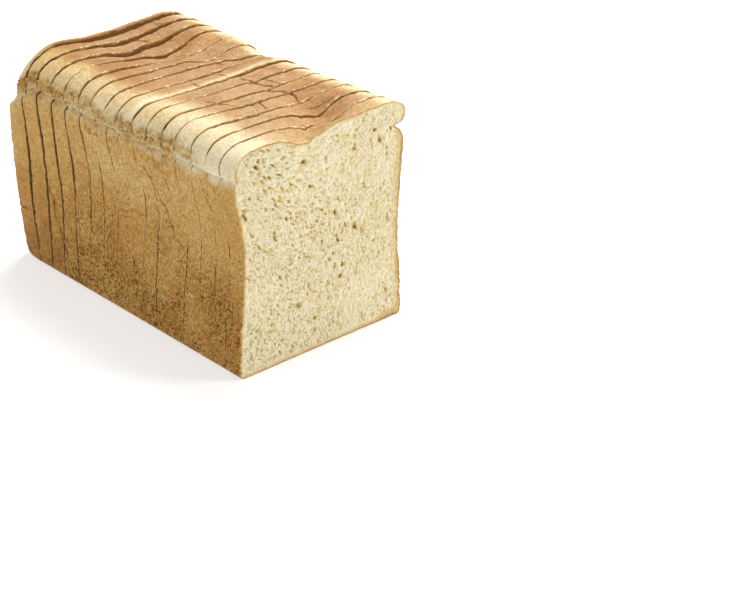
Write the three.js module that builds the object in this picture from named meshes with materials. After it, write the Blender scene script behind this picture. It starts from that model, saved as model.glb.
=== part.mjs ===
// A sliced tin loaf: white sandwich bread that rose over the rim of its tin, so that a lip of
// crust overhangs the side walls, cut into even slices that still stand together as a block.
// The front end is a fresh cut and the back end is the rounded end crust, the heel.
//
// Millimetres, +Z up. The loaf's length runs along Y, its cut face looks along -Y, and the origin
// is the centre of the rectangle that it covers on the surface it stands on.
import * as THREE from "three";

// The block of slices
const SLICE_COUNT = 15; // full slices, without the heel
const SLICE_THICKNESS = 12.2;
const HEEL_THICKNESS = 20;
const CUT_GAP = 0.4; // between neighbours that still touch
const LOOSE_SLICES = 5; // cuts at the back that have opened, up to the heel's
const LOOSE_GAP = 1.3; // the widest of these at the base

// The cross-section. A size with three values changes smoothly from the front of the loaf over
// its middle to the rear.
const BASE_WIDTH = 119;
const BASE_CORNER = 4; // radius of the tin's lower corner
const WALL_TOP_WIDTH = { front: 119, middle: 119, rear: 123 }; // just under the crease
const WALL_WAIST = { front: 4, middle: 4.5, rear: 0.5 }; // how far each wall pulls in on its way up
const CREASE_HEIGHT = { front: 117.5, middle: 114, rear: 117 }; // where the dough met the rim
const CREASE_DEPTH = 2.6;
const CREASE_OPENING = 3.2; // how far the crease opens below its deepest line
const LIP_WIDTH = 121; // widest across the overhanging lip
const LIP_RISE = 6; // from the crease up to the lip's widest line
const CROWN_HEIGHT = { front: 133.5, middle: 134, rear: 138 }; // the top beside the shoulders
const LEFT_SHOULDER = { front: 13, middle: 14, rear: 26 }; // how far it curves in over the top
const RIGHT_SHOULDER = { front: 10, middle: 12, rear: 12 };
const TOP_SAG = 2.2; // how far the middle of the top sinks below the shoulders

// The heel's rounding, as in the corners of the tin
const HEEL_SIDE_ROUND = 8;
const HEEL_BASE_ROUND = 8;
const HEEL_TOP_ROUND = 22;
const HEEL_SQUARENESS = 1.5; // 1 rounds it as an ellipse, more keeps its sides straight for longer
const HEEL_TOP_TAPER = 0.45; // share of its thickness that the heel loses towards its top
const HEEL_TAPER_RISE = 6; // a higher number starts the taper higher up

// The loose slices bow back, most of all at mid height
const BOW = 6;
const BOW_RISE = 1.15; // a higher number moves the bow's deepest line up
const BOW_SPREAD = 1.2; // a higher number leaves more of the bow to the last slices

// Fineness of the facets
const CURVE_SEGMENTS = 5;
const HEEL_RINGS = 5;
const SLICE_RINGS = 1;

const CRUMB = { color: 0xe9dcb4, roughness: 0.95, metalness: 0 };
const CRUST = { color: 0xc99a57, roughness: 0.8, metalness: 0 };
const HEEL_CRUST = { color: 0xb9823f, roughness: 0.75, metalness: 0 };

// 0 for the front slices that still touch, rising to 1 at the heel.
function looseness(index) {
  return Math.max(0, index - (SLICE_COUNT - LOOSE_SLICES)) / LOOSE_SLICES;
}

// The place of piece number `index`'s front face along the loaf, from the cut end.
function frontOf(index) {
  let front = 0;
  for (let i = 1; i <= index; i++) {
    front += SLICE_THICKNESS + CUT_GAP + (LOOSE_GAP - CUT_GAP) * looseness(i);
  }
  return front;
}

const BLOCK_LENGTH = frontOf(SLICE_COUNT) + HEEL_THICKNESS;

// The value at `share` of the loaf's length, on the parabola through a size's three values.
function at(share, { front, middle, rear }) {
  return front + share * (4 * middle - 3 * front - rear) + 2 * share ** 2 * (front + rear - 2 * middle);
}

// The section's outline at `share` of the length, x across and y up: the right half from the
// base up to the top's middle, then the left half back down.
function sectionOutline(share) {
  const base = BASE_WIDTH / 2;
  const wall = at(share, WALL_TOP_WIDTH) / 2;
  const crease = at(share, CREASE_HEIGHT);
  const creaseFoot = crease - CREASE_OPENING;
  const waist = (base + wall) / 2 - 2 * at(share, WALL_WAIST); // the curve goes half way to this point
  const lip = LIP_WIDTH / 2;
  const lipHeight = crease + LIP_RISE;
  const crown = at(share, CROWN_HEIGHT);
  const left = lip - at(share, LEFT_SHOULDER);
  const right = lip - at(share, RIGHT_SHOULDER);
  const lipToCrown = (lipHeight + crown) / 2;
  const sunk = crown - TOP_SAG;
  const outline = new THREE.Shape();

  outline.moveTo(-base + BASE_CORNER, 0);
  outline.lineTo(base - BASE_CORNER, 0);
  outline.absarc(base - BASE_CORNER, BASE_CORNER, BASE_CORNER, -Math.PI / 2, 0);
  outline.quadraticCurveTo(waist, creaseFoot / 2, wall, creaseFoot);
  outline.quadraticCurveTo(wall, crease, wall - CREASE_DEPTH, crease);
  outline.quadraticCurveTo(lip, crease, lip, lipHeight);
  outline.bezierCurveTo(lip, lipToCrown, (lip + right) / 2, crown, right, crown);
  outline.bezierCurveTo((2 * right) / 3, crown, right / 3, sunk, 0, sunk);

  outline.bezierCurveTo(-left / 3, sunk, (-2 * left) / 3, crown, -left, crown);
  outline.bezierCurveTo(-(lip + left) / 2, crown, -lip, lipToCrown, -lip, lipHeight);
  outline.quadraticCurveTo(-lip, crease, -wall + CREASE_DEPTH, crease);
  outline.quadraticCurveTo(-wall, crease, -wall, creaseFoot);
  outline.quadraticCurveTo(-waist, creaseFoot / 2, -base, BASE_CORNER);
  outline.absarc(-base + BASE_CORNER, BASE_CORNER, BASE_CORNER, Math.PI, 1.5 * Math.PI);
  return outline;
}

// A straight length of the loaf around `share` of its length, from y = 0 to y = thickness.
function straightPiece(share, thickness, rings) {
  const options = { depth: thickness, steps: rings, bevelEnabled: false, curveSegments: CURVE_SEGMENTS };
  const geometry = new THREE.ExtrudeGeometry(sectionOutline(share), options);
  geometry.rotateX(Math.PI / 2);
  return geometry.translate(0, thickness, 0);
}

// Rounds the back of the heel: from the cut to the outer face, each ring pulls in along a squared
// quarter of an ellipse, and it pulls in more at the top than at the sides and the base. Above the tin's
// rim the dough was free, so there the outer face slopes forward.
function roundBack(geometry, thickness, height) {
  const points = geometry.getAttribute("position");
  const lowered = (HEEL_BASE_ROUND + HEEL_TOP_ROUND) / height;
  const narrowed = HEEL_SIDE_ROUND / (LIP_WIDTH / 2);
  for (let i = 0; i < points.count; i++) {
    const turn = (points.getY(i) / thickness) * (Math.PI / 2);
    const inset = (1 - Math.cos(turn)) ** HEEL_SQUARENESS;
    points.setX(i, points.getX(i) * (1 - inset * narrowed));
    const taper = HEEL_TOP_TAPER * Math.min(points.getZ(i) / height, 1) ** HEEL_TAPER_RISE;
    points.setY(i, thickness * Math.sin(turn) * (1 - taper));
    points.setZ(i, points.getZ(i) * (1 - inset * lowered) + inset * HEEL_BASE_ROUND);
  }
}

// Bows a loose piece back. The bow is nothing at the base and at the top, and each piece takes
// more of it than the one in front, so the cuts only open.
function bowBack(geometry, index) {
  const points = geometry.getAttribute("position");
  const height = CROWN_HEIGHT.rear;
  const depth = BOW * looseness(index) ** BOW_SPREAD;
  for (let i = 0; i < points.count; i++) {
    const rise = Math.min(points.getZ(i) / height, 1);
    points.setY(i, points.getY(i) + depth * Math.sin(Math.PI * rise ** BOW_RISE));
  }
}

function standingPiece(name, finish, index, thickness, rings, shape) {
  const front = frontOf(index);
  const share = (front + thickness / 2) / BLOCK_LENGTH;
  const geometry = straightPiece(share, thickness, rings);
  if (shape) shape(geometry, thickness, at(share, CROWN_HEIGHT));
  bowBack(geometry, index);
  geometry.computeVertexNormals();
  const mesh = new THREE.Mesh(geometry, new THREE.MeshStandardMaterial(finish));
  mesh.name = name;
  mesh.position.y = front;
  return mesh;
}

const loaf = new THREE.Group();
for (let index = 0; index < SLICE_COUNT; index++) {
  const name = "slice_" + String(index + 1).padStart(2, "0");
  const finish = index === 0 ? CRUMB : CRUST;
  loaf.add(standingPiece(name, finish, index, SLICE_THICKNESS, SLICE_RINGS));
}
loaf.add(standingPiece("heel", HEEL_CRUST, SLICE_COUNT, HEEL_THICKNESS, HEEL_RINGS, roundBack));

// The origin goes to the middle of the loaf's footprint.
const footprint = new THREE.Box3().setFromObject(loaf, true);
const centre = footprint.getCenter(new THREE.Vector3());
loaf.position.set(-centre.x, -centre.y, -footprint.min.z);

export default loaf;
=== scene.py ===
"""The looks of a sliced tin loaf: fifteen slices and a heel, standing as one block on a pale floor.

Every slice is one closed mesh. Its outline is a ring of Bezier curves that changes along the loaf,
its crust is that ring carried across the slice's thickness, and its cut faces are patches stretched
between the ring's four sides. Crust and crumb get their relief from random fields worked out for
whole arrays at once. Shapes are worked out in millimetres and scaled to metres when a mesh is made.
"""

import math

import bpy
import numpy as np
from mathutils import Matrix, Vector


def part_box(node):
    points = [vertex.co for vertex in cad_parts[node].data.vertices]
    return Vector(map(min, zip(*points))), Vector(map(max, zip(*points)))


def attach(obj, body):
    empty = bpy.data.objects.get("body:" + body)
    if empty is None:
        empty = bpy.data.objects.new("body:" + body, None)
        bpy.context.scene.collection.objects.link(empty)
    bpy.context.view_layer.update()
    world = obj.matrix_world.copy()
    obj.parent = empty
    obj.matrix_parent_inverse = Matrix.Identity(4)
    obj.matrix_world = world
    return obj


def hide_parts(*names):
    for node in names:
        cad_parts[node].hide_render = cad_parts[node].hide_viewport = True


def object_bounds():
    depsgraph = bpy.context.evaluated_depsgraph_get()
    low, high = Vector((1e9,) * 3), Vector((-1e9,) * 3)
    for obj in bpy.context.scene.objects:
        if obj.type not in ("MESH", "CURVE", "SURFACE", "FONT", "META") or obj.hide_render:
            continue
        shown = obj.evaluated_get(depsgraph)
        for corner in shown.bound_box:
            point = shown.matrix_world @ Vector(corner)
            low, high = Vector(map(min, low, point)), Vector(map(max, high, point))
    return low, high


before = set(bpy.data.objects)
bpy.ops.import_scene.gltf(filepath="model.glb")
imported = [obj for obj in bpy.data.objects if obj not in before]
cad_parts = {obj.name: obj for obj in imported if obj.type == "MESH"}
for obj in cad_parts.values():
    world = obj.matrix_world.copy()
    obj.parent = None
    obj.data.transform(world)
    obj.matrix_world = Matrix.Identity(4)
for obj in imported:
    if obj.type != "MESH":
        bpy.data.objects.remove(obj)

CAD_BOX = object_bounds()
MM = 0.001

# ---------------------------------------------------------------- sizes

SLICES = [f"slice_{number:02d}" for number in range(1, 16)]
HEEL = "heel"
PIECES = SLICES + [HEEL]

FRONT = CAD_BOX[0].y / MM
LENGTH = (CAD_BOX[1].y - CAD_BOX[0].y) / MM
STARTS = np.array([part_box(name)[0].y / MM for name in PIECES])
THICKNESS = (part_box(SLICES[0])[1].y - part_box(SLICES[0])[0].y) / MM
HEEL_THICKNESS = 20.0

# A size with three values changes smoothly from the front of the loaf over its middle to the rear.
BASE_HALF = {-1: (59.6, 59.6, 60.0), 1: (60.2, 59.6, 59.6)}
BASE_CORNER = 4
WALL_HALF = {-1: (59.3, 60.2, 62.6), 1: (61.4, 60.0, 61.0)}
WALL_WAIST = {-1: (5.4, 5.2, 0.0), 1: (3.6, 4.0, 0.5)}
WAIST_RISE = {-1: 1.6, 1: 1.15}  # a higher number moves the waist up
CREASE_HEIGHT = {-1: (117.5, 115.0, 117.5), 1: (118.0, 115.0, 117.5)}
CREASE_DEPTH = {-1: (1.8, 2.8, 3.6), 1: (6.4, 3.6, 3.0)}
CREASE_OPENING = {-1: (3.0, 3.4, 4.0), 1: (9.0, 5.0, 4.0)}
LIP_HALF = {-1: (58.4, 61.0, 61.0), 1: (63.0, 61.5, 61.0)}
LIP_RISE = {-1: (5.0, 6.0, 7.0), 1: (7.0, 6.0, 6.0)}
SHOULDER = {-1: (15, 17, 27), 1: (13, 19, 21)}
CROWN_HEIGHT = {-1: (133.4, 134.8, 135.6), 1: (133.4, 133.8, 135.2)}
TOP_SAG = (0.4, 2.0, 1.6)

# Towards the heel's outer face the left lip draws in and its crease drops
END_START = 0.83
END_STOP = 0.93
END_LIP = 4.0
END_CREASE = 13.0

RAISED_SLICE = 7  # the index of the slice whose top stands above the one in front of it

LOOSE_SLICES = 5
BOW = 6
BOW_RISE = 1.15
BOW_SPREAD = 1.2

HEEL_SIDE_ROUND = 8
HEEL_BASE_ROUND = 8
HEEL_TOP_ROUND = 22
HEEL_SQUARENESS = 1.5
HEEL_TOP_TAPER = 0.45
HEEL_TAPER_RISE = 6

# The mesh: points along the ring's base and top, along each of its sides, and rows across a slice
ACROSS = 240
UP = 260
RING = 2 * (ACROSS + UP)
CURVE_POINTS = 40
EDGE_ROWS = np.cumsum((0, 0.12, 0.18, 0.26, 0.36))  # the crust's first rows, from its cut
ROW_STEP = 0.5
HEEL_ROWS = 52
SEEN_STEP = 1  # a cut face has a point at every so many of its ring's points
HIDDEN_STEP = 4
HEEL_STEP = 2
CRUST_SLOT = 0
CRUMB_SLOT = 1

# The faces inside a cut. Together these three are more than the gap between two slices that touch,
# so the faces of such neighbours run into each other in places.
PRESSED = 0.16  # how far a cut face comes forward where two slices press together
PLAY = 0.17  # how far a slice's front edge strays by itself where they don't
UNEVENNESS = 0.25

BROWNING_SEED = 90
CRUMB_SEED = 100
HEEL_CUT_SEED = 99


def at(share, sizes):
    """The parabola through a size's front, middle and rear values, at a share of the length."""
    front, middle, rear = sizes
    bend = 2 * (front + rear - 2 * middle)
    return front + share * (4 * middle - 3 * front - rear) + bend * share**2


def ease(low, high, value):
    """0 below low, 1 above high and a smooth S between them; high may be the smaller one."""
    share = np.clip((value - low) / (high - low), 0, 1)
    return share * share * (3 - 2 * share)


def bump(value, middle, width):
    """A bell curve: 1 at the middle, falling to about a third at one width away."""
    return np.exp(-(((value - middle) / width) ** 2))


# ---------------------------------------------------------------- random fields


def dice(x, y, z, seed):
    """A repeatable number from 0 to 1 for each whole-numbered place: x, y, z and the seed are each
    multiplied by a large odd number and added, and the bits are then folded and multiplied."""
    mixed = x.astype(np.int64) * 374761393 + y.astype(np.int64) * 668265263
    mixed = (mixed + z.astype(np.int64) * 2246822519 + seed * 3266489917) & 0xFFFFFFFF
    mixed = ((mixed ^ (mixed >> 13)) * 1274126177) & 0xFFFFFFFF
    return (mixed ^ (mixed >> 16)) / 2.0**32


def noise(place, size, seed, octaves=1):
    """Smooth random values from -1 to 1. The place is divided by the size (one number or three);
    the eight corners' dice are blended by the fifth-power ease of the place inside its cell, and
    each further octave adds the same at half the size and half the strength."""
    total = 0
    strength = 1.0
    reach = 0
    for octave in range(octaves):
        scaled = np.stack(np.broadcast_arrays(*place), -1) / np.asarray(size) * 2**octave
        scaled = scaled + 17.3 * octave
        cell = np.floor(scaled).astype(np.int64)
        inner = scaled - cell
        blend = inner**3 * (inner * (inner * 6 - 15) + 10)
        value = 0
        for corner in range(8):
            step = np.array([corner & 1, corner >> 1 & 1, corner >> 2])
            weight = np.prod(np.where(step == 1, blend, 1 - blend), -1)
            spot = cell + step
            value = value + weight * dice(spot[..., 0], spot[..., 1], spot[..., 2], seed + octave)
        total = total + strength * (2 * value - 1)
        reach += strength
        strength *= 0.5
    return total / reach


def bubbles(a, b, seed, share, small, large):
    """Round hollows from 0 at the rim to 1 in the middle. Each unit square of (a, b) holds one at
    a random spot, if its dice is under share, with a radius from small to large; the value is
    one minus the squared distance over the radius, and the deepest of the nine squares counts."""
    column = np.floor(a)
    row = np.floor(b)
    layer = np.zeros_like(column)
    deepest = np.zeros_like(a)
    for right in (-1, 0, 1):
        for above in (-1, 0, 1):
            x = column + right
            y = row + above
            spot_a = x + dice(x, y, layer, seed)
            spot_b = y + dice(x, y, layer + 1, seed)
            radius = small + (large - small) * dice(x, y, layer + 2, seed) ** 2
            here = dice(x, y, layer + 3, seed) < share
            hollow = 1 - ((a - spot_a) ** 2 + (b - spot_b) ** 2) / radius**2
            deepest = np.maximum(deepest, np.where(here, hollow, 0))
    return deepest


# ---------------------------------------------------------------- the outline


def half_outline(side, share):
    """The curves of one half of the section, from the base's middle up to the top's middle, as
    rows of four control points (x, z): base line, tin corner, wall, crease, lip, shoulder, top."""
    end = ease(END_START, END_STOP, share) * (side < 0)
    base = at(share, BASE_HALF[side])
    corner = BASE_CORNER
    wall = at(share, WALL_HALF[side])
    crease = at(share, CREASE_HEIGHT[side]) - END_CREASE * end
    foot = crease - at(share, CREASE_OPENING[side])
    deepest = wall - at(share, CREASE_DEPTH[side])
    lip = at(share, LIP_HALF[side]) - END_LIP * end
    widest = crease + at(share, LIP_RISE[side])
    crown = at(share, CROWN_HEIGHT[side])
    edge = lip - at(share, SHOULDER[side])
    middle = (at(share, CROWN_HEIGHT[-1]) + at(share, CROWN_HEIGHT[1])) / 2 - at(share, TOP_SAG)
    turn = 0.55  # a quarter circle's control points stand this share of the radius out
    nil = 0 * share
    bent = corner * (1 - turn)
    lean = (wall - base) / 3
    third = (foot - corner) / 3
    into = deepest * 0.5 + wall * 0.5
    over = lip * 0.55 + edge * 0.45
    curves = [
        [(nil, nil), (base / 3, nil), (base / 2, nil), (base - corner, nil)],
        [(base - corner, nil), (base - bent, nil), (base, bent), (base, corner)],
        [(base, corner), (base + lean, corner + third), (wall - lean, foot - third), (wall, foot)],
        [(wall, foot), (wall, foot * 0.5 + crease * 0.5), (into, crease - 0.5), (deepest, crease)],
        [(deepest, crease), (deepest + 0.8, crease + 0.6), (lip, crease), (lip, widest)],
        [(lip, widest), (lip, (widest + crown) / 2 + 1), (over, crown), (edge, crown)],
        [(edge, crown), (edge * 0.66, crown), (edge * 0.4, middle), (nil, middle)],
    ]
    points = np.array([[[x + nil, z + nil] for x, z in curve] for curve in curves])
    points[:, :, 0] *= side
    return points


def waisted(points, share):
    """Pulls the walls in between base and crease, by the waist's depth times a half sine wave
    over a power of the height."""
    x, z = points.T
    pulled = 0 * x
    for side in (-1, 1):
        top = at(share, CREASE_HEIGHT[side]) - at(share, CREASE_OPENING[side]) - 4
        rise = np.clip(z / top, 0, 1) ** WAIST_RISE[side]
        depth = at(share, WALL_WAIST[side]) * np.sin(np.pi * rise) ** 1.3
        pulled = np.where(x * side > 30, -side * depth, pulled)
    return np.stack([x + pulled, z], -1)


def ring(share):
    """The section's closed outline at one share of the length, as RING points (x, z) that start
    at the left tin corner and run along the base, up the right side, back over the top and down
    the left side. Each curve is its Bezier polynomial; each side is then walked in even steps."""
    right = half_outline(1, share)
    left = half_outline(-1, share)[::-1, ::-1]
    curves = np.concatenate([right, left])
    step = np.arange(CURVE_POINTS)[:, None] / CURVE_POINTS
    weights = np.hstack(
        [(1 - step) ** 3, 3 * step * (1 - step) ** 2, 3 * step**2 * (1 - step), step**3]
    )
    points = np.einsum("sk,cki->csi", weights, curves).reshape(-1, 2)
    # The ring starts half way round the left corner's curve; its other sides start half way round
    # the right corner's, the right shoulder's and the left shoulder's.
    start = 12 * CURVE_POINTS + CURVE_POINTS // 2
    points = waisted(np.roll(points, -start, axis=0), share)
    total = len(points)
    between = [(curve * CURVE_POINTS + CURVE_POINTS // 2 - start) % total for curve in (1, 5, 8)]
    ends = [0] + between + [total]
    closed = np.vstack([points, points[:1]])
    sides = []
    for first, last, count in zip(ends, ends[1:], (ACROSS, UP, ACROSS, UP)):
        side = closed[first : last + 1]
        lengths = np.hypot(*np.diff(side, axis=0).T)
        walked = np.concatenate([[0], np.cumsum(lengths)])
        stops = np.linspace(0, walked[-1], count + 1)[:-1]
        sides.append(np.stack([np.interp(stops, walked, side[:, i]) for i in (0, 1)], -1))
    return np.concatenate(sides)


def outward(points):
    """The outline's outward direction at each point: its tangent turned by a quarter."""
    tangent = np.roll(points, -1, axis=-2) - np.roll(points, 1, axis=-2)
    normal = np.stack([tangent[..., 1], -tangent[..., 0]], -1)
    return normal / np.maximum(np.linalg.norm(normal, axis=-1, keepdims=True), 1e-9)


# ---------------------------------------------------------------- relief of the crust

# Cracks in the left wall: from and to, each as distance from the cut end and height, then width
# and depth
WALL_CRACKS = [
    (79, 101, 62, 64, 0.45, 0.9),
    (62, 64, 52, 58, 0.40, 0.6),
    (175, 56, 169, 35, 0.50, 1.0),
    (169, 35, 161, 15, 0.50, 1.0),
    (161, 15, 152, 4, 0.45, 0.8),
    (212, 30, 197, 34, 0.50, 0.9),
    (27, 106, 26, 97, 0.50, 0.9),
    (154, 84, 138, 79, 0.40, 0.5),
    (100, 68, 88, 66, 0.40, 0.5),
    (98, 40, 96, 31, 0.60, 0.8),
]

# Cracks across the top: from and to, each as x and distance from the cut end, then width, depth
TOP_CRACKS = [
    (-24, 67, -18, 61, 0.55, 1.4),
    (-18, 61, -15, 53, 0.60, 1.5),
    (-15, 53, -4, 49, 0.55, 1.4),
    (-1, 51, -4, 41, 0.55, 1.2),
    (15, 85, 16, 75, 0.65, 1.5),
    (17, 75, 20, 63, 0.60, 1.5),
    (24, 74, 26, 62, 0.50, 1.2),
    (14, 62, 19, 57, 0.60, 1.4),
    (19, 57, 20, 50, 0.60, 1.4),
    (23, 50, 17, 38, 0.60, 1.4),
    (-20, 38, -13, 37, 0.60, 1.2),
    (26, 47, 40, 44, 0.40, 0.7),
    (18, 32, 34, 27, 0.45, 0.8),
    (9, 177, 11, 167, 0.60, 1.4),
    (-14, 178, -12, 169, 0.50, 1.1),
    (28, 184, 30, 178, 0.50, 1.0),
    (18, 118, 20, 106, 0.45, 0.8),
    (-10, 98, -11, 90, 0.45, 0.8),
    (8, 98, 9, 91, 0.45, 0.8),
]

# Hollows where the top sank: lines in the same form, but broad
TOP_HOLLOWS = [
    (-20, -8, 8, 13, 9.0, 6.6),
    (8, 12, 28, 28, 13.0, 7.0),
    (28, 116, 64, 112, 14.0, 3.6),
    (30, 118, 20, 140, 13.0, 5.0),
    (20, 140, 4, 158, 18.0, 5.4),
    (4, 158, -12, 170, 17.0, 3.6),
    (16, 50, 18, 80, 6.0, 1.0),
]


def along_lines(lines, a, b, seed, wander=1.6, soft=3.0, ragged=0.5):
    """How deep the lines' grooves are at each (a, b): every groove lies round a straight line
    that random fields bend sideways, as a bell curve across it that fades out at both ends. The
    cube root of the sum of cubes joins them."""
    place = (a, b, np.zeros_like(a))
    bent_a = a + wander * noise(place, 7, seed, 2)
    bent_b = b + wander * noise(place, 7, seed + 9, 2)
    thick = 1 + ragged * noise(place, 3, seed + 5)
    total = 0
    for a0, b0, a1, b1, width, deepest in lines:
        run = math.hypot(a1 - a0, b1 - b0)
        along = ((bent_a - a0) * (a1 - a0) + (bent_b - b0) * (b1 - b0)) / run
        aside = ((bent_a - a0) * (b1 - b0) - (bent_b - b0) * (a1 - a0)) / run
        ends = ease(-soft, soft, along) * ease(run + soft, run - soft, along)
        total = total + (deepest * ends * bump(aside, 0, width * thick)) ** 3
    return np.cbrt(total)


def crust_relief(x, y, z, normal_z):
    """How far the crust stands out at each point, and the fields that colour it. The walls are
    pitted by the tin, the lip is torn and crumbly, and the top is wrinkled and cracked."""
    run = y - FRONT
    place = (x, y, z)
    share = run / LENGTH
    left = x < 0
    leftward = ease(25, -25, x)
    end = END_CREASE * ease(END_START, END_STOP, share)
    crease = at(share, CREASE_HEIGHT[1]) * (1 - leftward)
    crease = crease + (at(share, CREASE_HEIGHT[-1]) - end) * leftward
    above = z - crease
    top = ease(0.25, 0.8, normal_z) * ease(2, 8, above)
    under = ease(-0.3, -0.8, normal_z) * ease(20, 4, z)
    wall = ease(1.5, -2.5, above) * (1 - under)
    lip = ease(-1, 2, above) * (1 - top)
    torn = bump(above, 0, 2.6 + 1.8 * noise(place, 6, 31)) * ease(30, 50, np.abs(x))
    torn = torn * (0.45 + 0.55 * ease(60, 35, run))

    broad = noise(place, 24, 1, 2)
    grain = noise(place, 1.3, 2, 2)
    grit = noise(place, 2.8, 3, 2)
    around = z - np.abs(x) + 200.0 * (x > 0)
    pit_noise = 0.5 * noise(place, 3, 4)
    pits = bubbles(around / 1.9 + pit_noise, y / 1.5 - pit_noise, 5, 0.8, 0.2, 0.6)
    large_pits = bubbles(around / 4.6 + pit_noise, y / 3.1, 15, 0.4, 0.1, 0.36)
    low = ease(85, 15, z)
    patchy = ease(-0.4, 0.4, noise(place, 18, 6, 2))
    smooth_end = ease(140, 175, run)
    pitting = (0.25 + 0.75 * low) * (0.5 + 0.5 * patchy) * (1 - 0.6 * smooth_end)
    wall_depth = (1.1 * pits + 1.2 * large_pits) * pitting
    wall_depth = wall_depth - 0.42 * grain - 0.50 * grit * (0.4 + 0.6 * low)
    wall_crack = along_lines(WALL_CRACKS, run, z, 40) * left

    rough = noise(place, (2.6, 1.9, 2.6), 7, 3)
    crumbs = bubbles(around / 2.6 + pit_noise, y / 2.1 + pit_noise, 25, 0.8, 0.25, 0.62)
    crumbly = ease(24, 52, run + 12 * noise(place, (16, 11, 16), 8, 2))
    crumbly = crumbly * (0.65 + 0.35 * ease(-0.3, 0.3, noise(place, (9, 9, 9), 18, 2)))
    crumbly = crumbly * ease(15, 9, above + 3 * noise(place, (6, 5, 6), 19))
    lip_depth = -0.35 * rough - crumbly * (1.3 * rough + 1.5 * crumbs - 0.6)

    streak = noise(place, (9, 1.6, 9), 9, 2)
    top_crack = along_lines(TOP_CRACKS, x, run, 60, 1.2, 1.5)
    fold = 1 - np.abs(noise((x + 0.3 * y, y - 0.2 * x, z), (11, 7, 11), 11, 2))
    folds = ease(0.84, 1.0, fold) * ease(-30, 0, x)
    top_depth = 0.14 * streak - 0.10 * grain + 0.35 * folds - 0.14 * grit

    shoulder = lip * (1 - crumbly) + crumbly * ease(8, 12, above)
    depth = wall * (wall_depth + wall_crack) + lip * lip_depth + top * (top_depth + top_crack)
    depth = depth - 0.35 * broad * (1 - under) - 0.12 * grain * shoulder
    depth = depth + torn * (0.35 + 0.9 * noise(place, 2.4, 12, 2))
    depth = np.where(under > 0.05, np.maximum(depth, 0) * 0.5 + 0.12 * under * pits, depth)

    spots = ease(0.15, 0.5, noise(place, (4.5, 3.5, 4.5), 13, 2)) * bump(above, -7, 9)
    spots = spots * ease(48, 62, run) * ease(150, 120, run) * left
    # hollow is how deep the pits, cracks and sunken crumbs are; the crust finish paints shade into
    # them by it.
    hollow = wall * (0.9 * np.maximum(pits, large_pits) * pitting + wall_crack) + top * top_crack
    sunk = ease(0.1, -0.4, rough + 0.5 * crumbs)
    hollow = hollow + 0.8 * lip * crumbly * sunk + under * 0.4 * pits
    fields = {"top": top, "lip": lip, "wall": wall, "under": under, "torn": torn}
    fields.update({"crumbly": crumbly, "rough": rough, "low": low, "hollow": hollow})
    fields.update({"pitted": wall * pitting + 0.5 * under, "share": share, "run": run})
    fields.update({"spots": spots + 0.3 * folds * top, "above": above})
    fields["crumbs"] = lip * crumbly * ease(0.4, 0.8, crumbs)
    return -depth, fields


def crown_shift(x, y, z, number):
    """How far the top of a slice is above or below the even loaf: the broad hollows, a step where
    the eighth slice stands above the seventh, and a saw tooth, because each slice's top falls
    towards its rear and the next one starts higher, most of all near the heel. It fades in above
    the crease."""
    run = y - FRONT
    place = (x, y, 0 * x)
    hollow = along_lines(TOP_HOLLOWS, x, run, 66, 0.5, 9.0, 0.0)
    torn_step = 1.1 * ease(-6.5, -4.5, x) * bump(x, -3, 8) * bump(run, 0, 9)
    step_run = STARTS[RAISED_SLICE] - FRONT
    raised = 0.45 * np.exp(-np.abs(run - step_run) / 9) * (1 if number >= RAISED_SLICE else -1)
    fallen = (y - STARTS[number]) / THICKNESS - 0.5
    rear = ease(145, 165, run) * bump(x, 6, 34)
    uneven = 0.5 * noise((x, 9.0 * number + 0 * x, 0 * x), (25, 1, 1), 73)
    tooth = (0.9 + uneven + 2.2 * rear) * fallen
    wander = 0.9 * noise(place, (46, 60, 1), 70) + 0.4 * noise(place, (17, 22, 1), 71)
    own = 0.5 * noise((x, 40 * number + 0 * x, 0 * x), (34, 7, 1), 72)
    return (torn_step + raised + wander + own - hollow - tooth) * ease(0, 12, z - 112)


# ---------------------------------------------------------------- the cuts


def looseness(number):
    """0 for the slices that still touch, rising to 1 at the heel."""
    return max(0, number - (len(SLICES) - LOOSE_SLICES)) / LOOSE_SLICES


def bow(z, number):
    """How far a loose slice bows back at a height: a half sine wave over the height's power."""
    rise = np.clip(z / CROWN_HEIGHT[1][2], 0, 1)
    return BOW * looseness(number) ** BOW_SPREAD * np.sin(np.pi * rise**BOW_RISE)


def cut_wander(x, z, cut):
    """How far a cut strays from its plane, the same for both slices at it. The first cut is the
    straightest."""
    layer = 0 * x + 50.0 * cut
    broad = noise((x, layer, z), (50, 1, 40), 80)
    sway = 0.3 if cut == 0 else 1.1
    return sway * (broad + 0.32 * noise((x, layer, z), (6, 1, 6), 81, 3))


def closed_up(x, z, cut):
    """1 where the walls of two touching slices press together at a cut, 0 where they stand off."""
    layer = 0 * x + 50.0 * cut
    tight = ease(1.3, 0.1, looseness(cut) * 2)
    mid_wall = ease(25, 45, z) * ease(118, 108, z)
    return tight * ease(0.0, 0.35, noise((x, layer, z), (14, 1, 14), 85, 2)) * mid_wall


def edge_wear(x, z, cut, facing):
    """The radius of a slice's worn edge at a cut: ragged everywhere, wider on the top, widest
    where the slices stand loose, and next to nothing where two slices press together."""
    layer = 0 * x + 50.0 * cut + 9.0 * facing
    ragged = ease(-0.3, 0.8, noise((x, layer, z), (3.0, 1, 3.0), 82, 3))
    on_top = ease(118, 128, z)
    loose = looseness(cut)
    radius = 0.20 + (0.32 + 0.35 * on_top + 0.55 * loose * on_top) * ragged + 0.2 * on_top * loose
    return radius * (1 - 0.75 * closed_up(x, z, cut))


def rounded(distance, radius):
    """How far a surface falls back near an edge that is rounded to a radius."""
    inside = np.clip(1 - distance / radius, 0, 1)
    return radius * (1 - np.sqrt(1 - inside**2))


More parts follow.
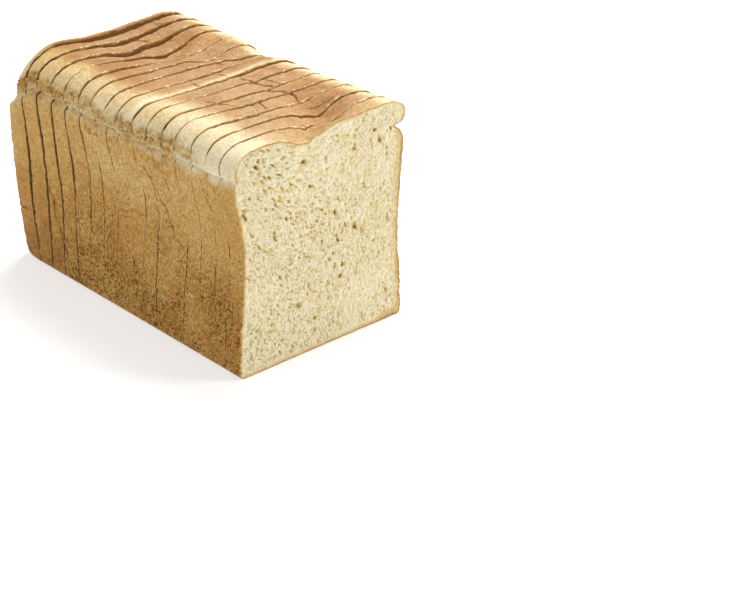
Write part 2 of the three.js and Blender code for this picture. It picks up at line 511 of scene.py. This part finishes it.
# The largest holes of the cut face: x, z, half width, half height, depth
LARGE_HOLES = [
    (-43, 122, 1.5, 1.8, 1.8),
    (-11, 116, 2.2, 1.7, 2.0),
    (-52, 96, 1.1, 3.2, 2.2),
    (-48, 84, 1.0, 2.0, 1.4),
    (-31, 97, 1.2, 2.0, 1.6),
    (-35, 114, 1.1, 1.6, 1.4),
    (40, 120, 1.9, 1.5, 1.7),
    (44, 113, 1.4, 2.4, 1.9),
    (25, 113, 1.8, 1.3, 1.3),
    (27, 124, 2.6, 1.2, 1.3),
    (11, 79, 1.5, 2.9, 1.8),
    (25, 67, 1.7, 2.6, 1.7),
    (18, 69, 1.4, 2.2, 1.3),
    (30, 62, 1.1, 2.4, 1.3),
    (9, 55, 1.1, 1.1, 1.6),
    (10, 47, 1.3, 1.8, 1.9),
    (16, 46, 1.0, 1.6, 2.0),
    (14, 39, 1.8, 1.6, 2.2),
    (-17, 31, 1.4, 2.6, 1.6),
    (-5, 19, 1.6, 1.9, 1.8),
    (1, 64, 1.0, 2.4, 1.4),
    (-32, 77, 1.1, 2.2, 1.5),
    (-7, 100, 1.1, 1.8, 1.5),
]


def crumb_relief(x, z, rim):
    """How deep the crumb's pores are. They lie along the dough's flow, which leans on the left
    and stands upright on the right; three sizes of hollow are added, with fine ridges between,
    and the largest holes are ellipses. All fade out in the dense crumb at the rim."""
    seed = CRUMB_SEED
    lean = 0.62 * ease(35, -50, x) * ease(0, 60, z) + 0.08
    across = x + lean * (z - 60)
    zero = 0 * x
    drift = 0.8 * noise((x, z, zero), 9, seed, 2)
    fine = bubbles(across / 1.25 + drift, z / 2.0, seed + 1, 0.97, 0.25, 0.62)
    middle = bubbles(across / 2.2 + drift, z / 3.6 + drift, seed + 2, 0.75, 0.14, 0.42)
    scattered = 0.45 + 0.55 * ease(-0.4, 0.4, noise((x, z, zero), 26, seed + 3, 2))
    open_left = 0.55 + 0.45 * ease(30, -20, x)
    large = bubbles(across / 8.0, z / 12 + drift, seed + 4, 0.5, 0.05, 0.15)
    ridges = noise((across, z, zero), (1.3, 2.8, 1), seed + 5, 2)
    clear = ease(1.2, 5.0, rim + 1.5 * noise((x, z, zero), 6, seed + 6))
    depth = 0.6 * fine * (0.5 + scattered / 2) + 1.3 * middle * scattered * open_left
    depth = depth + 1.4 * large - 0.75 * ridges
    for hole_x, hole_z, half_wide, half_tall, deep in LARGE_HOLES:
        slant = 0.45 * ease(10, -50, np.array(hole_x))
        aside = (x - hole_x + slant * (z - hole_z)) / half_wide
        along = (z - hole_z) / half_tall
        edge = 0.35 * noise((x, z, zero), 1.8, seed + 7)
        depth = depth + deep * ease(0.0, 0.8, 1 - aside**2 - along**2 + edge)
    return depth * clear + 0.12 * ridges


# ---------------------------------------------------------------- meshes


def patch(rim_points, step):
    """A grid stretched between a ring's four sides: each point is the blend of base and top plus
    the blend of left and right, minus the blend of the four corners (a Coons patch)."""
    base = rim_points[: ACROSS + 1][::step]
    right = rim_points[ACROSS : ACROSS + UP + 1][::step]
    top = rim_points[ACROSS + UP : 2 * ACROSS + UP + 1][::-1][::step]
    left = np.concatenate([rim_points[2 * ACROSS + UP :], rim_points[:1]])[::-1][::step]
    s = np.linspace(0, 1, len(base))[:, None, None]
    t = np.linspace(0, 1, len(left))[None, :, None]
    sides = (1 - t) * base[:, None] + t * top[:, None] + (1 - s) * left[None] + s * right[None]
    corners = (1 - s) * ((1 - t) * base[0] + t * top[0]) + s * ((1 - t) * base[-1] + t * top[-1])
    return sides - corners, s[..., 0], t[..., 0]


def patch_faces(first_ring, first_inner, step, faces_front):
    """The faces of a patch, as arrays of equal-sided polygons. Along the rim a cell takes in all
    the ring's points that lie on it, so that the mesh stays closed at any step."""
    columns = ACROSS // step
    rows = UP // step
    grid = np.zeros((columns + 1, rows + 1), np.int64)
    inner = (columns - 1) * (rows - 1)
    grid[1:-1, 1:-1] = first_inner + np.arange(inner).reshape(columns - 1, rows - 1)
    place = np.arange(RING + 1) % RING
    grid[:, 0] = place[: ACROSS + 1 : step]
    grid[-1, :] = place[ACROSS : ACROSS + UP + 1 : step]
    grid[:, -1] = place[ACROSS + UP : 2 * ACROSS + UP + 1 : step][::-1]
    grid[0, :] = place[2 * ACROSS + UP :: step][::-1]
    on_rim = np.ones_like(grid, bool)
    on_rim[1:-1, 1:-1] = False
    grid = np.where(on_rim, grid + first_ring, grid)
    quads = np.stack([grid[:-1, :-1], grid[1:, :-1], grid[1:, 1:], grid[:-1, 1:]], -1)
    if step == 1:
        groups = [quads.reshape(-1, 4)]
    else:
        fill = np.arange(step + 1)

        def strip(starts, inner_pairs):
            """Cells along one side: the ring's points on it, then the two inner ones."""
            around = first_ring + (starts[:, None] + fill) % RING
            return np.concatenate([around, inner_pairs], 1)

        mid_columns = np.arange(1, columns - 1)
        mid_rows = np.arange(1, rows - 1)
        groups = [quads[1:-1, 1:-1].reshape(-1, 4)]
        pairs = np.stack([grid[mid_columns + 1, 1], grid[mid_columns, 1]], 1)
        sides = [strip(mid_columns * step, pairs)]
        pairs = np.stack([grid[-2, mid_rows + 1], grid[-2, mid_rows]], 1)
        sides.append(strip(ACROSS + mid_rows * step, pairs))
        pairs = np.stack([grid[mid_columns, -2], grid[mid_columns + 1, -2]], 1)
        sides.append(strip(2 * ACROSS + UP - (mid_columns + 1) * step, pairs))
        pairs = np.stack([grid[1, mid_rows], grid[1, mid_rows + 1]], 1)
        sides.append(strip(RING - (mid_rows + 1) * step, pairs))
        groups.append(np.concatenate(sides))
        corners = [(0, grid[1, 1]), (ACROSS, grid[-2, 1])]
        corners += [(ACROSS + UP, grid[-2, -2]), (2 * ACROSS + UP, grid[1, -2])]
        wide = np.arange(-step, step + 1)
        bends = [np.append(first_ring + (corner + wide) % RING, near) for corner, near in corners]
        groups.append(np.array(bends))
    if not faces_front:
        groups = [group[:, ::-1] for group in groups]
    return groups


def make_mesh(name, points, groups, fields):
    """A mesh from points in millimetres, groups of equal-sided polygons with a material slot
    each, and fields of one value a point, which become its attributes."""
    mesh = bpy.data.meshes.new(name)
    mesh.vertices.add(len(points))
    mesh.vertices.foreach_set("co", (points * MM).astype(np.float32).ravel())
    corners = np.concatenate([group.ravel() for group, _ in groups])
    sizes = np.concatenate([np.full(len(group), group.shape[1]) for group, _ in groups])
    numbers = np.concatenate([np.full(len(group), number) for group, number in groups])
    starts = np.concatenate([[0], np.cumsum(sizes)[:-1]])
    mesh.loops.add(len(corners))
    mesh.loops.foreach_set("vertex_index", corners.astype(np.int32))
    mesh.polygons.add(len(sizes))
    mesh.polygons.foreach_set("loop_start", starts.astype(np.int32))
    mesh.polygons.foreach_set("material_index", numbers.astype(np.int32))
    mesh.polygons.foreach_set("use_smooth", np.ones(len(sizes), bool))
    for field, values in fields.items():
        layer = mesh.attributes.new(field, "FLOAT", "POINT")
        layer.data.foreach_set("value", values.astype(np.float32))
    mesh.update(calc_edges=True)
    mesh.validate()
    return mesh


def row_places(thickness):
    """Distances of the crust's rows from the front cut: close together at both cuts."""
    last = EDGE_ROWS[-1]
    between = thickness - 2 * last
    count = max(2, round(between / ROW_STEP))
    middle = last + between * np.arange(1, count) / count
    return np.concatenate([EDGE_ROWS, middle, thickness - EDGE_ROWS[::-1]])


def outlines(number, distances, thickness):
    """The rings of (x, z) round a piece at each distance from its front cut, before relief."""
    shares = (STARTS[number] - FRONT + np.clip(distances, 0, thickness)) / LENGTH
    return np.stack([ring(share) for share in shares])


def rim_distance(s, t, wide, tall):
    """How far each point of a patch is from its nearest side."""
    return np.minimum(np.minimum(s, 1 - s) * wide, np.minimum(t, 1 - t) * tall)


def hidden_fields(rim, z, hollow):
    """The fields of a cut face inside the block, which the crumb finish paints with shade from a
    little way in from the rim. Below the lip this painted shade starts nearer to the rim."""
    nil = 0 * rim
    reach_in = rim * (1 + 3 * ease(120, 110, z))
    fields = {"brown": reach_in, "rosy": nil, "hollow": hollow, "bare": nil + 1}
    fields.update({"pitted": nil, "toasted": nil + 1})
    return fields


class Build:
    """The parts of one closed mesh: a band of crust, row by row, and a patch over each end."""

    def __init__(self, band, fields):
        self.points = [band.reshape(-1, 3)]
        self.fields = {key: [value.ravel()] for key, value in fields.items()}
        index = np.arange(len(band) * RING).reshape(len(band), RING)
        ahead = np.roll(index, -1, axis=1)
        quads = np.stack([index[:-1], index[1:], ahead[1:], ahead[:-1]], -1).reshape(-1, 4)
        self.groups = [(quads, CRUST_SLOT)]

    def close(self, row, step, faces_front, grid, fields, slot):
        """Adds the patch that closes the band at one of its rows."""
        first = sum(len(part) for part in self.points)
        self.points.append(grid[1:-1, 1:-1].reshape(-1, 3))
        for key, part in fields.items():
            self.fields[key].append(part[1:-1, 1:-1].ravel())
        for group in patch_faces(row * RING, first, step, faces_front):
            self.groups.append((group, slot))

    def joined(self):
        """All points, all groups of faces with their material slots, and each field's values."""
        fields = {key: np.concatenate(value) for key, value in self.fields.items()}
        return np.concatenate(self.points), self.groups, fields


def browning(fields, x, z):
    """How brown the crust is, from 0 for pale dough to 1 for dark crust, and how rosy the top
    is. Walls darken towards the base and the heel, the lip is patchy, the crease is pale."""
    run = fields["run"]
    place = (x, run, z)
    seed = BROWNING_SEED
    cloud = noise(place, 30, seed, 3)
    fleck = noise(place, 2.2, seed + 1, 2)
    patches = ease(-0.25, 0.35, noise(place, 14, seed + 3, 3))
    rear = fields["share"]
    wall = 0.46 + 0.24 * fields["low"] * (0.5 + 0.5 * patches) + 0.06 * rear + 0.10 * cloud
    wall = wall + 0.10 * fleck + 0.30 * fields["spots"] + 0.12 * ease(150, 190, run) * fields["low"]
    wall = wall + 0.10 * ease(45, 0, run)
    above = fields["above"]
    lip = 0.46 * fields["crumbly"] + 0.24 * fields["rough"] * fields["crumbly"]
    lip = lip + 0.22 * ease(140, 190, run) + 0.08 * cloud + 0.14 * bump(above, 3, 4)
    reach = x + 6 * noise(place, (14, 14, 14), seed + 2, 2)
    edge = -34 - 10 * ease(85, 105, run)
    # The bloom stops short of the right shoulder, which stays pale: partly its own paler crust,
    # partly a painted highlight of the light from the right.
    rosy_part = ease(edge - 8, edge + 10, reach) * ease(52, 40, reach)
    stripe = bump(run, 90, 3.0)
    rosy = rosy_part * fields["top"] * (1 - 0.75 * stripe)
    rosy = rosy * (0.55 + 0.45 * ease(0, 30, run + 10 * cloud))
    pale_front = ease(26, 0, run) * ease(-24, -40, x)
    top = 0.07 + 0.10 * cloud + 0.06 * fleck + 0.36 * rear * ease(0, -50, x) - 0.12 * pale_front
    top = top + 0.26 * rosy_part - 0.2 * stripe
    front_dent = ease(8, 22, run) * ease(66, 50, run)
    rear_dent = ease(132, 142, run) * ease(170, 160, run)
    dent = bump(x, 28, 16) * (front_dent + rear_dent)
    top = top + 0.22 * dent * (0.7 + 0.6 * patches) + 0.3 * fields["spots"]
    amount = fields["wall"] * wall + fields["lip"] * lip + fields["top"] * top
    amount = amount + fields["under"] * (0.72 + 0.1 * cloud)
    total = fields["wall"] + fields["lip"] + fields["top"] + fields["under"]
    amount = amount / np.maximum(total, 0.2)
    amount = amount * (1 - 0.85 * fields["torn"])
    return np.clip(amount, 0, 1), np.clip(rosy * (0.85 + 0.3 * cloud), 0, 1)


def slice_mesh(number, front_step):
    """One slice: the crust ring with its relief, and a patch over each cut."""
    distances = row_places(THICKNESS)
    rings = outlines(number, distances, THICKNESS)
    x, z = rings[..., 0], rings[..., 1]
    y = STARTS[number] + distances[:, None] + np.zeros(RING)
    normal = outward(rings)
    relief, fields = crust_relief(x, y, z, normal[..., 1])
    share = (distances / THICKNESS)[:, None]
    pressed = (closed_up(x, z, number) * (number > 0), closed_up(x, z, number + 1))
    play = PLAY * (1 - pressed[0]) * noise((x, 0 * x + number, z), (4, 1, 4), 83, 2)
    y = y + (1 - share) * (cut_wander(x, z, number) + play - PRESSED * pressed[0])
    y = y + share * (cut_wander(x, z, number + 1) + PRESSED * pressed[1])
    wear = rounded(distances[:, None], edge_wear(x, z, number, 1))
    wear = wear + rounded((THICKNESS - distances)[:, None], edge_wear(x, z, number + 1, 0))
    own_x = 0.5 * noise((0 * z + 9.0 * number, 0 * z, z), (1, 1, 25), 84)
    wall_bulge = 0.3 * np.sin(np.pi * share) * fields["wall"]
    out = relief - wear + wall_bulge
    shift = crown_shift(x, y, z, number)
    moved_x = x + normal[..., 0] * out + own_x * ease(2, 20, z)
    moved_z = np.maximum(z + normal[..., 1] * out + shift, 0)
    moved_y = y + bow(moved_z, number)
    band = np.stack([moved_x, moved_y, moved_z], -1)
    brown, rosy = browning(fields, x, z)
    edge_near = np.minimum(distances, THICKNESS - distances)[:, None]
    scuffed = ease(0.1, 0.4, noise((x, y, z), (1.9, 1.3, 1.9), 91, 2)) * bump(edge_near, 0, 0.85)
    scuffed = scuffed * (fields["top"] + fields["lip"]) * ease(0.5, 0.1, fields["wall"])
    cream_patch = 0.8 * bump(x, -54, 6) * bump(y - FRONT, 105, 6) * fields["lip"]
    bare = 0.85 * fields["torn"] + scuffed + 0.6 * fields["crumbs"] + cream_patch
    crust = {
        "brown": brown,
        "rosy": rosy,
        "hollow": fields["hollow"],
        "bare": np.clip(bare, 0, 1),
        "pitted": fields["pitted"],
        "toasted": bump(edge_near, 0, 0.5) + 0 * x,
    }

    build = Build(band, crust)
    ends = ((0, front_step, True), (len(distances) - 1, HIDDEN_STEP, False))
    for row, step, faces_front in ends:
        grid, s, t = patch(band[row], step)
        gx, gz = grid[..., 0], grid[..., 2]
        wide = band[row][:, 0].max() - band[row][:, 0].min()
        rim = rim_distance(s, t, wide, band[row][:, 2].max())
        nil = 0 * rim
        if step == SEEN_STEP:
            depth = crumb_relief(gx, gz, rim)
            thick_side = 1 + ease(35, 50, gx) * ease(119, 112, gz)
            face = {"brown": rim / thick_side, "rosy": nil, "hollow": np.clip(depth / 1.7, 0, 1)}
            face.update({"bare": nil + 1, "pitted": nil, "toasted": nil})
        else:
            depth = UNEVENNESS * noise((gx, gz, nil), 8, CRUMB_SEED + number)
            face = hidden_fields(rim, gz, np.clip(depth / 1.7, 0, 1))
        grid[..., 1] += depth if faces_front else -depth
        build.close(row, step, faces_front, grid, face, CRUMB_SLOT)
    return build.joined()


def heel_mesh():
    """The end crust: a ring that starts at its cut and rounds over into the outer face, where
    each row is the outline drawn in by a share that follows a squared quarter of an ellipse."""
    number = len(SLICES)
    turns = np.linspace(EDGE_ROWS[-1] / HEEL_THICKNESS, np.pi / 2, HEEL_ROWS)
    turns = np.concatenate([EDGE_ROWS[:-1] / HEEL_THICKNESS, turns])
    rings = outlines(number, HEEL_THICKNESS * np.sin(turns), HEEL_THICKNESS)
    x, z = rings[..., 0], rings[..., 1]
    normal = outward(rings)
    height = at(1.0, CROWN_HEIGHT[1])
    inset = (1 - np.cos(turns))[:, None] ** HEEL_SQUARENESS
    moved_x = x * (1 - inset * HEEL_SIDE_ROUND / LIP_HALF[1][2])
    moved_z = z * (1 - inset * (HEEL_BASE_ROUND + HEEL_TOP_ROUND) / height) + inset * HEEL_BASE_ROUND
    taper = HEEL_TOP_TAPER * np.clip(z / height, 0, 1) ** HEEL_TAPER_RISE
    y = STARTS[number] + HEEL_THICKNESS * np.sin(turns)[:, None] * (1 - taper)
    relief, fields = crust_relief(moved_x, y, moved_z, normal[..., 1])
    back = np.sin(turns)[:, None] ** 4
    distance = HEEL_THICKNESS * turns[:, None]
    out = relief - rounded(distance, edge_wear(x, z, number, 1))
    wander = cut_wander(x, z, number) * (1 - back)
    shift = crown_shift(x, y, z, number) * (1 - back)
    moved_x = moved_x + normal[..., 0] * out * (1 - 0.7 * back)
    moved_z = np.maximum(moved_z + normal[..., 1] * out * (1 - 0.7 * back) + shift, 0)
    y = y + wander + out * back * 0.7
    moved_y = y + bow(moved_z, number)
    band = np.stack([moved_x, moved_y, moved_z], -1)
    brown, rosy = browning(fields, x, z)
    under_lip = bump(fields["above"], -1, 6) * (x < 0) * ease(0, 6, distance) * (1 - back)
    torn = fields["torn"] + under_lip * ease(-0.5, 0.3, noise((x, y, z), (5, 4, 5), 98, 2))
    crust = {
        "brown": brown,
        "rosy": rosy * (1 - back),
        "hollow": fields["hollow"],
        "bare": np.clip(0.85 * torn * (1 - back), 0, 1),
        "pitted": fields["pitted"],
        "toasted": bump(distance, 0, 0.5) + 0 * x,
    }

    build = Build(band, crust)
    for row, step, faces_front in ((0, HIDDEN_STEP, True), (len(turns) - 1, HEEL_STEP, False)):
        grid, s, t = patch(band[row], step)
        gx, gy, gz = grid[..., 0], grid[..., 1], grid[..., 2]
        wide = band[row][:, 0].max() - band[row][:, 0].min()
        tall = band[row][:, 2].max() - band[row][:, 2].min()
        rim = rim_distance(s, t, wide, tall)
        nil = 0 * rim
        if faces_front:
            grid[..., 1] += UNEVENNESS * noise((gx, gz, nil), 8, HEEL_CUT_SEED)
            build.close(row, step, faces_front, grid, hidden_fields(rim, gz, nil), CRUMB_SLOT)
        else:
            dome = 2.0 * (1 - np.exp(-rim / 18))
            face_out, face = crust_relief(gx, gy, gz, nil)
            grid[..., 1] += dome + face_out * ease(0, 1.5, rim)
            face_brown, _ = browning(face, gx, gz)
            middle = ease(10, 45, rim)
            skin = {"brown": face_brown + 0.05 - 0.10 * middle, "hollow": face["hollow"]}
            skin.update({"bare": nil, "pitted": face["pitted"], "toasted": nil, "rosy": nil})
            build.close(row, step, faces_front, grid, skin, CRUST_SLOT)
    return build.joined()


# ---------------------------------------------------------------- finishes


class Signal:
    """A node's output socket. Arithmetic on it adds Math nodes."""

    def __init__(self, finish, socket):
        self.finish = finish
        self.socket = socket

    def _math(self, operation, *values):
        return self.finish.node("ShaderNodeMath", {"operation": operation}, *values)

    def __add__(self, other):
        return self._math("ADD", self, other)

    def __radd__(self, other):
        return self._math("ADD", other, self)

    def __sub__(self, other):
        return self._math("SUBTRACT", self, other)

    def __rsub__(self, other):
        return self._math("SUBTRACT", other, self)

    def __mul__(self, other):
        return self._math("MULTIPLY", self, other)

    def __rmul__(self, other):
        return self._math("MULTIPLY", other, self)

    def limited(self):
        return self.finish.node("ShaderNodeClamp", {}, self, 0.0, 1.0)


class Finish:
    """A material round one Principled shader, whose constants are set on its own sockets."""

    def __init__(self, name, **constants):
        self.material = bpy.data.materials.new(name)
        self.material.use_nodes = True
        self.tree = self.material.node_tree
        self.shader = self.tree.nodes["Principled BSDF"]
        for name, value in constants.items():
            self._input(self.shader, name).default_value = value
        self.place = self.node("ShaderNodeTexCoord", {}, output="Object")

    def _input(self, made, name):
        """A node's input by its name in small letters, with _ for each space."""
        return next(s for s in made.inputs if s.name.lower().replace(" ", "_") == name)

    def _feed(self, socket, value):
        if isinstance(value, Signal):
            self.tree.links.new(value.socket, socket)
        else:
            socket.default_value = value

    def node(self, kind, settings, *values, output=0, **named):
        """Adds a node. Settings are set first, a ramp's stops among them; then come the values
        or links of its sockets, in order or by name."""
        made = self.tree.nodes.new(kind)
        stops = settings.pop("stops", None)
        for setting, value in settings.items():
            setattr(made, setting, value)
        if stops:
            while len(made.color_ramp.elements) < len(stops):
                made.color_ramp.elements.new(0.5)
            for element, (position, colour) in zip(made.color_ramp.elements, stops):
                element.position = position
                element.color = (*colour, 1.0)
        sockets = [socket for socket in made.inputs if socket.enabled]
        for socket, value in zip(sockets, values):
            self._feed(socket, value)
        for name, value in named.items():
            self._feed(self._input(made, name), value)
        return Signal(self, made.outputs[output])

    def field(self, name):
        return self.node("ShaderNodeAttribute", {"attribute_name": name}, output="Fac")

    def grain(self, size, detail, roughness):
        """Noise from 0 to 1 whose features are about the given size in metres."""
        look = {"vector": self.place, "scale": 1 / size, "detail": detail, "roughness": roughness}
        return self.node("ShaderNodeTexNoise", {"noise_dimensions": "3D"}, **look)

    def pits(self, size, low, high):
        """Small round pits, 1 in the middle of each cell and 0 away from it."""
        settings = {"feature": "F1", "voronoi_dimensions": "3D"}
        look = {"vector": self.place, "scale": 1 / size}
        made = self.node("ShaderNodeTexVoronoi", settings, output="Distance", **look)
        return 1 - self.between(made, low, high)

    def ramp(self, value, stops):
        return self.node("ShaderNodeValToRGB", {"stops": stops}, value, output="Color")

    def between(self, value, low, high):
        """0 below low and 1 above high, smoothly."""
        settings = {"interpolation_type": "SMOOTHSTEP"}
        return self.node("ShaderNodeMapRange", settings, value, low, high, 0.0, 1.0)

    def mix(self, share, one, other):
        """A blend of two colours."""
        made = self.tree.nodes.new("ShaderNodeMix")
        made.data_type = "RGBA"
        self._feed(made.inputs[0], share)
        for socket, colour in ((made.inputs[6], one), (made.inputs[7], other)):
            self._feed(socket, colour if isinstance(colour, Signal) else (*colour, 1.0))
        return Signal(self, made.outputs[2])

    def finish(self, colour, roughness, height, distance, strength):
        """Feeds the shader its colour, its roughness and a bump, whose distance is in metres."""
        self._feed(self.shader.inputs["Base Color"], colour)
        self._feed(self.shader.inputs["Roughness"], roughness)
        look = {"strength": strength, "distance": distance, "height": height}
        normal = self.node("ShaderNodeBump", {}, output="Normal", **look)
        self._feed(self.shader.inputs["Normal"], normal)
        return self.material


PALE_DOUGH = (0.84, 0.75, 0.52)
BLOND = (0.70, 0.53, 0.27)
GOLDEN = (0.57, 0.335, 0.078)
TAN = (0.45, 0.21, 0.031)
CHESTNUT = (0.28, 0.108, 0.018)
ROSY = (0.50, 0.26, 0.145)
ROSY_SHADE = (0.35, 0.155, 0.068)
# Painted shade for the crust's pits, cracks and hollows
PAINTED_HOLLOW_SHADE = (0.14, 0.052, 0.010)
CRUMB_CREAM = (0.87, 0.79, 0.56)
CRUMB_MIDDLE = (0.82, 0.67, 0.32)
# The next two are painted shade for the crumb's pores and cells
CRUMB_PORE_SHADE = (0.73, 0.48, 0.14)
CRUMB_DEEP_PORE_SHADE = (0.48, 0.27, 0.055)
RIM_GOLD = (0.68, 0.45, 0.16)
# Painted shade for the crumb inside the cuts
GAP_SHADE_BROWN = (0.24, 0.10, 0.02)


def crust_finish():
    """Baked crust: pale to chestnut by how brown it is, with flecks, a rosy bloom on the top and
    bare crumb where it is torn. Its pits, cracks and hollows get painted shade, darker by their
    depth."""
    made = Finish("baked_crust", specular_ior_level=0.3)
    brown = made.field("brown")
    hollow = made.field("hollow")
    fine = made.grain(0.0007, 2.0, 0.6)
    fleck = made.grain(0.0016, 3.0, 0.65)
    blotch = made.grain(0.007, 3.0, 0.6)
    pits = made.pits(0.0014, 0.16, 0.42) * made.between(fleck, 0.42, 0.62)
    pits = pits * (0.12 + made.field("pitted"))
    fine_part = (fine - 0.5) * 0.9
    # hollow * 0.22 is painted shade: the crust is browner in its pits and cracks by their depth.
    tone = brown + fine_part + (fleck - 0.5) * 0.62 + (blotch - 0.5) * 0.18 + hollow * 0.22
    stops = [(0.0, PALE_DOUGH), (0.25, BLOND), (0.5, GOLDEN), (0.75, TAN), (1.0, CHESTNUT)]
    colour = made.ramp(tone, stops)
    rosy = (made.field("rosy") * (0.9 + (blotch - 0.5) * 0.7)).limited()
    bloom = made.mix(made.between(fleck + brown * 0.6, 0.45, 0.8), ROSY, ROSY_SHADE)
    colour = made.mix(rosy * 0.9, colour, bloom)
    worn_edge = (made.field("toasted") * made.between(blotch, 0.35, 0.6)).limited()
    colour = made.mix(worn_edge * 0.5, colour, RIM_GOLD)
    bare = (made.field("bare") * made.between(fleck + blotch, 0.7, 1.15)).limited()
    colour = made.mix(bare, colour, CRUMB_CREAM)
    # Painted shade: pits, cracks and sunken crumbs are darkened towards a dark umber.
    dark = (hollow * 0.75 + pits * 0.75).limited()
    colour = made.mix(dark * (1 - bare * 0.6), colour, PAINTED_HOLLOW_SHADE)
    roughness = 0.60 + (fleck - 0.5) * 0.3 + bare * 0.25
    height = fine * 0.35 + fleck * 0.55 + blotch * 0.4 - pits * 0.8
    return made.finish(colour, roughness, height, 0.0014, 1.0)


def crumb_finish():
    """Cut crumb: cream, with a fine open grain and a golden rim of crust; its pores and cells get
    painted shade, darker by their depth. Its faces have their distance from the rim, in
    millimetres, in the field "brown". The faces inside the cuts get painted shade, dark brown from
    about 2 mm in, so that the gaps look deep."""
    made = Finish("open_crumb", specular_ior_level=0.2)
    hollow = made.field("hollow")
    distance = made.field("brown")
    inside = made.field("toasted")
    grain = made.grain(0.0008, 3.0, 0.6)
    cloud = made.grain(0.012, 2.0, 0.5)
    cells = made.pits(0.0013, 0.1, 0.5)
    # Painted shade: the pores, cells and hollows darken by their depth towards the pore shade
    # colours; grain and cloud add random tone.
    depth = hollow + (grain - 0.5) * 0.8 + (cloud - 0.5) * 0.15 + cells * 0.12
    stops = [(0.0, CRUMB_CREAM), (0.4, CRUMB_MIDDLE), (0.72, CRUMB_PORE_SHADE), (1.0, CRUMB_DEEP_PORE_SHADE)]
    colour = made.ramp(depth.limited(), stops)
    rim = distance + (cloud - 0.5) * 1.6 + (grain - 0.5) * 0.8
    golden = 1 - made.between(rim, 0.6, 3.8)
    colour = made.mix(golden * 0.85, colour, RIM_GOLD)
    brown_line = 1 - made.between(rim, 0.2, 1.3)
    colour = made.mix(brown_line * 0.85, colour, TAN)
    # Painted shade: inside the cuts the crumb is painted dark brown from about 2 mm in, so that the
    # gaps look deep.
    painted_gap_shade = inside * made.between(rim, 0.3, 1.7)
    colour = made.mix(painted_gap_shade * 0.94, colour, GAP_SHADE_BROWN)
    height = grain * 0.6 - cells * 0.6
    return made.finish(colour, 0.92, height, 0.0009, 0.8)


# ---------------------------------------------------------------- the block

CRUST = crust_finish()
CRUMB = crumb_finish()

for number, node in enumerate(PIECES):
    if node == HEEL:
        points, groups, fields = heel_mesh()
    else:
        points, groups, fields = slice_mesh(number, SEEN_STEP if number == 0 else HIDDEN_STEP)
    mesh = make_mesh("baked_" + node, points, groups, fields)
    mesh.materials.append(CRUST)
    mesh.materials.append(CRUMB)
    piece = bpy.data.objects.new("baked_" + node, mesh)
    bpy.context.scene.collection.objects.link(piece)
    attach(piece, "root")
    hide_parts(node)


# ---------------------------------------------------------------- floor, light and camera


FLOOR_HALF = 6.0


def floor():
    """A wide plain floor under the loaf."""
    half = FLOOR_HALF
    mesh = bpy.data.meshes.new("floor")
    corners = [(-half, -half, 0), (half, -half, 0), (half, half, 0), (-half, half, 0)]
    mesh.from_pydata(corners, [], [(0, 1, 2, 3)])
    glow = {"emission_color": (0.985, 0.995, 1.0, 1), "emission_strength": 0.55}
    made = Finish("pale_floor", base_color=(0.6, 0.597, 0.59, 1), roughness=0.9, **glow)
    mesh.materials.append(made.material)
    piece = bpy.data.objects.new("floor", mesh)
    bpy.context.scene.collection.objects.link(piece)


def softbox(name, place, side, power, colour):
    """A square area light, in metres and watts, that looks at the loaf's lower middle."""
    data = bpy.data.lights.new(name, "AREA")
    data.shape = "RECTANGLE"
    data.size = side
    data.size_y = side
    data.energy = power
    data.color = colour
    lamp = bpy.data.objects.new(name, data)
    lamp.location = place
    lamp.rotation_euler = (LAMP_TARGET - Vector(place)).to_track_quat("-Z", "Y").to_euler()
    bpy.context.scene.collection.objects.link(lamp)


def sky(strength):
    """Even light from all round."""
    world = bpy.data.worlds.new("studio")
    world.use_nodes = True
    background = world.node_tree.nodes["Background"]
    background.inputs["Color"].default_value = (1.0, 0.99, 0.975, 1)
    background.inputs["Strength"].default_value = strength
    bpy.context.scene.world = world


WARM = (1.0, 0.985, 0.955)
WHITE = (1, 1, 1)
LAMP_TARGET = Vector((0, 0, 0.05))

CAMERA_AZIMUTH = math.radians(-42.09)
CAMERA_ELEVATION = math.radians(27.74)
CAMERA_DISTANCE = 1.2345
CAMERA_AIM = Vector((0.0586, FRONT * MM + 0.0199, 0.0))
CAMERA_LENS = 100.9


def camera():
    """A long lens from the front left and above; the loaf stands in the left half of the frame."""
    data = bpy.data.cameras.new("camera")
    data.lens = CAMERA_LENS
    data.clip_end = 30
    level = math.cos(CAMERA_ELEVATION)
    aside = math.sin(CAMERA_AZIMUTH) * level
    ahead = math.cos(CAMERA_AZIMUTH) * level
    back = Vector((aside, -ahead, math.sin(CAMERA_ELEVATION)))
    made = bpy.data.objects.new("camera", data)
    made.location = CAMERA_AIM + back * CAMERA_DISTANCE
    made.rotation_euler = (-back).to_track_quat("-Z", "Y").to_euler()
    bpy.context.scene.collection.objects.link(made)
    bpy.context.scene.camera = made


floor()
softbox("key", (0.7, 0.35, 1.6), 0.8, 31, WARM)
softbox("front", (1.2, -1.2, 1.1), 0.6, 17.5, WHITE)
softbox("side", (-1.5, 0.25, 1.3), 0.4, 8.5, WARM)
sky(0.36)
camera()
bpy.context.scene.view_settings.view_transform = "Standard"
